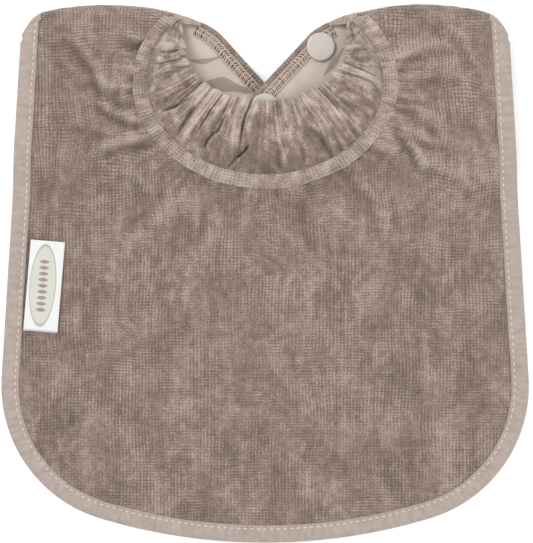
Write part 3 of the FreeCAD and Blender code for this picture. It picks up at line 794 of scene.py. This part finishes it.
# ---- folded straps
def strap_frame(side):
    """The snap's place, and unit directions along and across a strap."""
    along = np.array([side * math.cos(ANGLE), math.sin(ANGLE)])
    across = np.array([-side * math.sin(ANGLE), math.cos(ANGLE)])
    snap = np.array([0.0, SNAP_Y])
    return snap, along, across


def strap_paths(side):
    """Neck edge and outer edge of a strap, both from the middle of its tip to the crest."""
    snap, along, across = strap_frame(side)
    flare = np.array([side * (SHOULDER_X - 24.5), CREST_Y - 40.0])
    centre = snap + along * (TIP_RADIUS - SNAP_TO_TIP) + across * (SNAP_TO_NECK_EDGE - TIP_RADIUS)
    run = centre - flare
    turn = math.atan2(run[1], run[0]) + side * math.asin(TIP_RADIUS / np.hypot(*run))
    outer = np.array([math.cos(turn), math.sin(turn)])
    neck = snap + across * SNAP_TO_NECK_EDGE
    tip = flare + outer * np.linalg.solve(np.stack([outer, -along], 1), neck - flare)[0]
    bend = neck + along * (SNAP_TO_NECK_EDGE + 31.0)
    out = bend + np.array([side * math.cos(ANGLE * 0.62), math.sin(ANGLE * 0.62)]) * 60
    shoulder = np.array([side * (SHOULDER_X - 3.2), CREST_Y - 12.0])
    top = np.array([side * (SHOULDER_X - 3.0), CREST_Y + 20])
    path = rounded_path([(*out, 0), (*bend, 20), (*tip, TIP_RADIUS), (*flare, 30), (*shoulder, 12),
                         (*top, 0)])
    path = resample(path, 1600)
    middle = int(np.argmin((path - snap) @ along))
    found = []
    for half in (path[middle::-1], path[middle:]):
        inside = half[:, 1] < strap_top(half[:, 0]) + 0.4
        keep = len(half) if inside.all() else int(np.argmin(inside))
        found.append(half[:keep])
    return found


STRAPS = {
    "left": {"side": -1, "lift": TAB_LIFT, "near": TAB_LENGTH + 2.0, "far": TAB_LENGTH + 16.0},
    "right": {"side": 1, "lift": RIGHT_LIFT, "near": RIGHT_RAMP_START, "far": RIGHT_RAMP_END},
}


def strap_height(which):
    spec = STRAPS[which]
    snap, along = strap_frame(spec["side"])[:2]

    def height(x, y):
        s = (np.asarray(x) - snap[0]) * along[0] + (np.asarray(y) - snap[1]) * along[1]
        return ramp(s, spec["near"], spec["far"], spec["lift"], SHOULDER_LIFT)
    return height


def on_strap(piece, which, *nodes):
    """Rides on the right strap; a left-strap piece is baked in place instead. Hides the CAD parts it
    replaces.
    """
    if which == "right":
        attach(piece, "right_strap")
        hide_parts(*["right_strap_" + n for n in nodes])
        return
    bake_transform(piece)
    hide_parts(*["left_strap_" + n for n in nodes], *["left_tab_" + n for n in nodes])


def strap_grid(neck, outer, inset, rows, cols):
    side = 1.0 if outer[-1, 0] > 0 else -1.0
    a = resample(neck, rows)
    b = resample(outer, rows)
    a = a - normals_2d(a) * (inset * side)
    b = b + normals_2d(b) * (inset * side)
    f = np.linspace(0, 1, cols)[None, :, None]
    plan = a[:, None] * (1 - f) + b[:, None] * f
    top = strap_top(plan[..., 0])
    w = smooth(0.8, 1.0, np.linspace(0, 1, rows))[:, None] ** 2
    plan[..., 1] += (top[[-1]] - plan[[-1], :, 1]) * w
    plan[..., 1] = np.minimum(plan[..., 1], top)
    return plan


HEM_PROFILE = [(2.6, 2.6), (2.5, 3.15), (2.0, 3.42), (1.2, 3.5), (0.5, 3.15), (0.05, 2.3), (0.0, 1.4),
               (0.1, 0.7), (0.6, 0.16), (1.6, 0.04), (2.6, 0.1)]
BAND_PROFILE = [(2.2, 2.6), (2.6, 3.0), (3.4, 3.05), (5.4, 3.0), (6.6, 2.9), (7.0, 2.62)]


def keep(which, kind, piece, *nodes):
    """Passes a strap's piece to on_strap; kind is not used."""
    on_strap(piece, which, *nodes)


for which, spec in STRAPS.items():
    side = spec["side"]
    height = strap_height(which)
    neck, outer = strap_paths(side)
    plan = strap_grid(neck, outer, 0.8, 420, 150)
    x, y = plan[..., 0], plan[..., 1]
    wrinkle = 0.22 * noise(x, y, 13, 61) + 0.10 * noise(x, y, 5, 62)
    f = np.linspace(0, 1, 150)[None, :]
    hold = smooth(0.0, 0.12, f) * smooth(1.0, 0.9, f)
    top_face = np.stack([x, y, height(x, y) + TOWEL_TOP + wrinkle * hold], -1)
    keep(which, "lining", grid_piece(which + "_strap_lining_sheet", top_face, lining, plan,
                                     tint=brush_print(x, y, STROKES), facing="up"), "lining")
    low_face = np.stack([x, y, height(x, y) + LINING_UNDER + 0.12 * noise(x, y, 6, 63) * hold], -1)
    keep(which, "towelling", grid_piece(which + "_strap_towelling_sheet", low_face, towelling, plan,
                                        tint=0 * x, facing="down"), "towelling")
    path = resample(outer, 320)
    points, cloth = sweep(path, [(a * side, b) for a, b in BINDING_PROFILE], height)
    keep(which, "binding", grid_piece(which + "_strap_binding_strip", points, binding, cloth),
         "binding")
    keep(which, "stitches", stitches(which + "_strap_stitches", path, STITCH_INSET * side, STITCH_LEVEL,
                                     height), "stitching")
    path = resample(neck, 300)
    points, cloth = sweep(path, [(a * -side, b) for a, b in HEM_PROFILE], height)
    ripple = 0.10 * noise(cloth[..., 0], cloth[..., 1], 1.6, 64)
    points[..., 2] += ripple * (points[..., 2] > 1)
    keep(which, "hem", grid_piece(which + "_neck_hem_strip", points, towelling, cloth,
                                  tint=0.02 + 0 * cloth[..., 0]), "neck_hem")
    points, cloth = sweep(path, [(a * -side, b) for a, b in BAND_PROFILE], height)
    u, v = cloth[..., 0], cloth[..., 1]
    points[..., 2] += 0.12 * noise(u, v, 0.9, 65) * (np.abs(v - 2.7) < 2)
    keep(which, "overlock", grid_piece(which + "_overlock_band", points, towelling, cloth,
                                       tint=-0.05 + 0 * u, facing="up"), "overlock")


def tubes(name, lines, radius, material, sides=6):
    """Thin threads along several lines of points, as one mesh."""
    verts, faces, cloth = [], [], []
    for line in lines:
        line = np.asarray(line, float)
        run = tangents(line)
        flat = np.cross(run, (0, 0, 1.0))
        flat /= np.maximum(np.linalg.norm(flat, axis=1), 1e-6)[:, None]
        rise = np.cross(flat, run)
        base = len(verts)
        for i, p in enumerate(line):
            for k in range(sides):
                turn = 2 * math.pi * k / sides
                q = p + radius * (flat[i] * math.cos(turn) + rise[i] * math.sin(turn))
                verts.append(tuple(q))
                cloth.append((i * 0.5, turn * radius))
        for i in range(len(line) - 1):
            for k in range(sides):
                a0, a1 = base + i * sides + k, base + i * sides + (k + 1) % sides
                faces.append((a0, a1, a1 + sides, a0 + sides))
    return make_mesh(name, verts, faces, material, np.array(cloth))


def overlock_loops(which):
    """Interlaced looper threads laid across the overlocked band."""
    side = STRAPS[which]["side"]
    height = strap_height(which)
    neck = strap_paths(side)[0]
    spots = resample(neck, int(lengths(neck)[-1] / LOOP_PITCH))
    inward = normals_2d(spots) * -side
    tangent = tangents(spots)
    lines = []
    for i in range(6, len(spots) - 1):
        jitter = 0.34 * noise(i * 2.3, side, 1, 71)
        for start, stop, lean in ((2.6, 4.7, 1.0), (4.5, 6.9, -0.9)):
            line = []
            for u in np.linspace(0, 1, 7):
                inset = start + (stop - start) * u
                shift = lean * (u - 0.5) + jitter
                p = spots[i] + inward[i] * inset + tangent[i] * shift
                lift = 0.55 * math.sin(math.pi * u) ** 0.7
                line.append((p[0], p[1], float(height(p[0], p[1])) + 2.85 + lift))
            lines.append(line)
    for inset in (2.75, 4.6, 6.75):
        line = []
        for i in range(4, len(spots)):
            p = spots[i] + inward[i] * (inset + 0.18 * noise(i * 1.9, inset, 1, 72))
            line.append((p[0], p[1], float(height(p[0], p[1])) + 3.1 + 0.12 * noise(i * 2.9, inset, 1, 73)))
        lines.append(line)
    return tubes(which + "_overlock_threads", lines, 0.22, overlock_thread)


for which in STRAPS:
    keep(which, "threads", overlock_loops(which))


# ---- cloth over the shoulder folds
def fold_piece(name, spots, out, radius, material, reach=0.0):
    """Half tube of cloth turning over the crest from the front down to the strap."""
    radius = np.broadcast_to(np.asarray(radius, float), (len(spots),))[:, None]
    theta = np.radians(np.linspace(90, -90, 26))
    lead = np.linspace(reach, 0, 5)[:-1] if reach else np.zeros(0)
    rows = len(lead) + len(theta)
    points = np.zeros((len(spots), rows, 3))
    cloth = np.zeros((len(spots), rows, 2))
    for j in range(rows):
        if j < len(lead):
            offset, level, run = -radius - lead[j], radius - 0.22 * lead[j], lead[j]
        else:
            a = theta[j - len(lead)]
            offset, level = -radius + radius * math.cos(a), radius * math.sin(a)
            run = -radius * (math.pi / 2 - a)
        points[:, j, :2] = spots + out * offset
        points[:, j, 2] = FOLD_Z + level[:, 0]
        cloth[:, j, 0] = spots[:, 0]
        cloth[:, j, 1] = spots[:, 1] - np.ravel(radius + run)
    u, v = cloth[..., 0], cloth[..., 1]
    bump = 0.13 * noise(u, v, 3, 81) + 0.2 * noise(u, v, 9, 82)
    ease = np.sin(np.linspace(0, np.pi, rows))[None, :]
    points[..., :2] += out[:, None] * (bump * ease)[..., None]
    piece = grid_piece(name, points, material, cloth, tint=0 * cloth[..., 0])
    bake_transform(piece)
    return piece


for which, spec in STRAPS.items():
    side = spec["side"]
    corner = SHOULDER_X - SHOULDER_ROUND
    xs = np.linspace(NECK_END_X + 1.0, corner + 1.6, 150)
    spots = np.stack([side * xs, crest_y(xs)], 1)
    up = np.tile([0.0, 1.0], (len(xs), 1))
    fold_piece(which + "_shoulder_fold", spots, up, FOLD_RADIUS,
                                             towelling)
    phi = np.radians(np.linspace(8, 84, 36))
    xs = corner + SHOULDER_ROUND * np.sin(phi)
    spots = np.stack([side * (xs + 0.7 * smooth(0.9, 1.4, phi)), crest_y(xs)], 1)
    out = np.stack([side * np.sin(phi), np.cos(phi)], 1)
    fold_piece(which + "_binding_fold", spots, out,
                                                     fold_reach(xs) + 0.5, binding)
    xs = np.linspace(27.5, NECK_END_X + 1.6, 80)
    drop = 0.5 * (1 - smooth(27.5, 33.0, xs)) + 0.2 * noise(xs, 0 * xs, 2.0, 83)
    spots = np.stack([side * xs, crest_y(xs) - drop], 1)
    up = np.tile([0.0, 1.0], (len(xs), 1))
    tail_radius = 1.1 + (FOLD_RADIUS - 0.75) * smooth(27.5, 35.0, xs)
    fold_piece(which + "_collar_tail", spots, up, tail_radius,
                                             roll_towelling, reach=0.8)


# ---- press studs
def lathe(name, centre, profile, material, segments=72, face_down=False):
    profile = np.array(profile, float)
    turn = np.linspace(0, 2 * math.pi, segments, endpoint=False)
    points = np.zeros((len(profile), segments, 3))
    points[..., 0] = centre[0] + profile[:, None, 0] * np.cos(turn)
    points[..., 1] = centre[1] + profile[:, None, 0] * np.sin(turn)
    points[..., 2] = centre[2] + profile[:, None, 1] * (-1 if face_down else 1)
    faces = grid_faces(len(profile), segments, wrap=True)
    last = (len(profile) - 1) * segments
    faces.append(list(range(segments)))
    faces.append([last + k for k in range(segments)][::-1])
    return make_mesh(name, points.reshape(-1, 3), faces, material, None)


CAP_HEIGHT = 1.2
CAP_PROFILE = [(6.0, 0.0), (6.2, 0.25), (6.2, 0.55), (6.05, 0.9), (5.75, 1.12), (5.3, CAP_HEIGHT),
               (4.9, 1.18), (4.5, 1.15), (3.4, 1.15), (2.0, 1.15), (1.0, 1.17), (0.5, 1.17), (0.1, 1.17)]
for node, body, down in (("fastened_snap_cap", "right_strap", False),
                         ("spare_snap_cap", "right_strap", False), ("left_snap_cap", "left_tab", True)):
    low, high = box(node)
    centre = (low + high) / 2
    seat = low[2] + CAP_HEIGHT if down else high[2] - CAP_HEIGHT
    cap = lathe(node + "_moulded", (centre[0], centre[1], seat), CAP_PROFILE, snap_plastic,
                face_down=down)
    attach(cap, body)
    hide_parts(node)
for node in ("left_snap_socket", "fastened_snap_stud", "spare_snap_stud"):
    part = frame["nodes"][node]
    part.data.materials.clear()
    part.data.materials.append(snap_plastic)


# ---- side label, a folded loop
flip = next(j for j in frame["joints"] if j["name"] == "side_label_flip")
hinge = np.array(flip["pos_m"]) / MM
down = np.array(flip["axis"])
out = np.array([-down[1], down[0], 0.0])
label_low = box("side_label")[0]
LABEL_LENGTH = 38.7
LABEL_WIDTH = 14.4
label = label_material(LABEL_LENGTH, LABEL_WIDTH)
rows = np.linspace(0, 1, 60)
section = np.r_[np.linspace(0, 1, 30), np.ones(7), np.linspace(1, 0, 24)]
turned = np.r_[np.zeros(30), np.linspace(0, 1, 9)[1:-1], np.ones(24)]
R, W = np.meshgrid(rows, section, indexing="ij")
TURNED = np.broadcast_to(turned, R.shape)
puff = 0.35 * np.sin(np.pi * W) * (0.6 + 0.4 * np.sin(np.pi * R)) + 0.12 * noise(R * 38, W * 14, 7, 91)
level = label_low[2] + 0.05 + (0.75 + puff) * (1 - TURNED)
reach = W * LABEL_WIDTH + 0.4 * np.sin(np.pi * TURNED)
drift = R * LABEL_LENGTH + 0.7 * TURNED * R
points = hinge[None, None] + down * drift[..., None] + out * (reach + 0.1)[..., None]
points[..., 2] = level
label_cloth = np.stack([W * LABEL_WIDTH + 60 * TURNED, R * LABEL_LENGTH], -1)
tag = grid_piece("side_label_loop", points, label, label_cloth)
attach(tag, "side_label")
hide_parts("side_label")

# ---- camera, light and floor
LENS = 135.0
SENSOR = 36.0
VIEW_HEIGHT = 234.576
camera_data = bpy.data.cameras.new("camera")
camera_data.lens = LENS
camera_data.sensor_width = SENSOR
camera = bpy.data.objects.new("camera", camera_data)
bpy.context.scene.collection.objects.link(camera)
camera.location = (0.0006, 0.0012, LENS / SENSOR * VIEW_HEIGHT * MM + 0.004)
camera.rotation_euler = (0, 0, 0)
bpy.context.scene.camera = camera

floor_nodes = Nodes("pale_floor")
floor_tone = floor_nodes.ramp(floor_nodes.noise(floor_nodes.add("TexCoord").outputs["Object"], 3.0),
                              [(0.3, (0.93, 0.93, 0.93)), (0.7, (0.95, 0.95, 0.95))])
floor_nodes.finish(floor_tone, 0.9)
bpy.ops.mesh.primitive_plane_add(size=6, location=(0, 0, -0.0002))
floor = bpy.context.object
floor.name = "floor"
floor.data.materials.append(floor_nodes.material)

world = bpy.data.worlds.new("studio")
bpy.context.scene.world = world
world.use_nodes = True
world.node_tree.nodes["Background"].inputs["Color"].default_value = (1, 1, 1, 1)
world.node_tree.nodes["Background"].inputs["Strength"].default_value = 1.0


def soft_light(name, place, size, power):
    data = bpy.data.lights.new(name, "AREA")
    data.shape = "DISK"
    data.size = size
    data.energy = power
    light = bpy.data.objects.new(name, data)
    light.location = place
    light.rotation_euler = (Vector((0, 0, 0)) - Vector(place)).to_track_quat("-Z", "Y").to_euler()
    bpy.context.scene.collection.objects.link(light)


soft_light("key", (-0.7, 0.65, 1.0), 0.6, 11.0)
soft_light("fill", (0.9, -0.5, 0.9), 0.9, 8.5)
bpy.context.scene.view_settings.view_transform = "Standard"
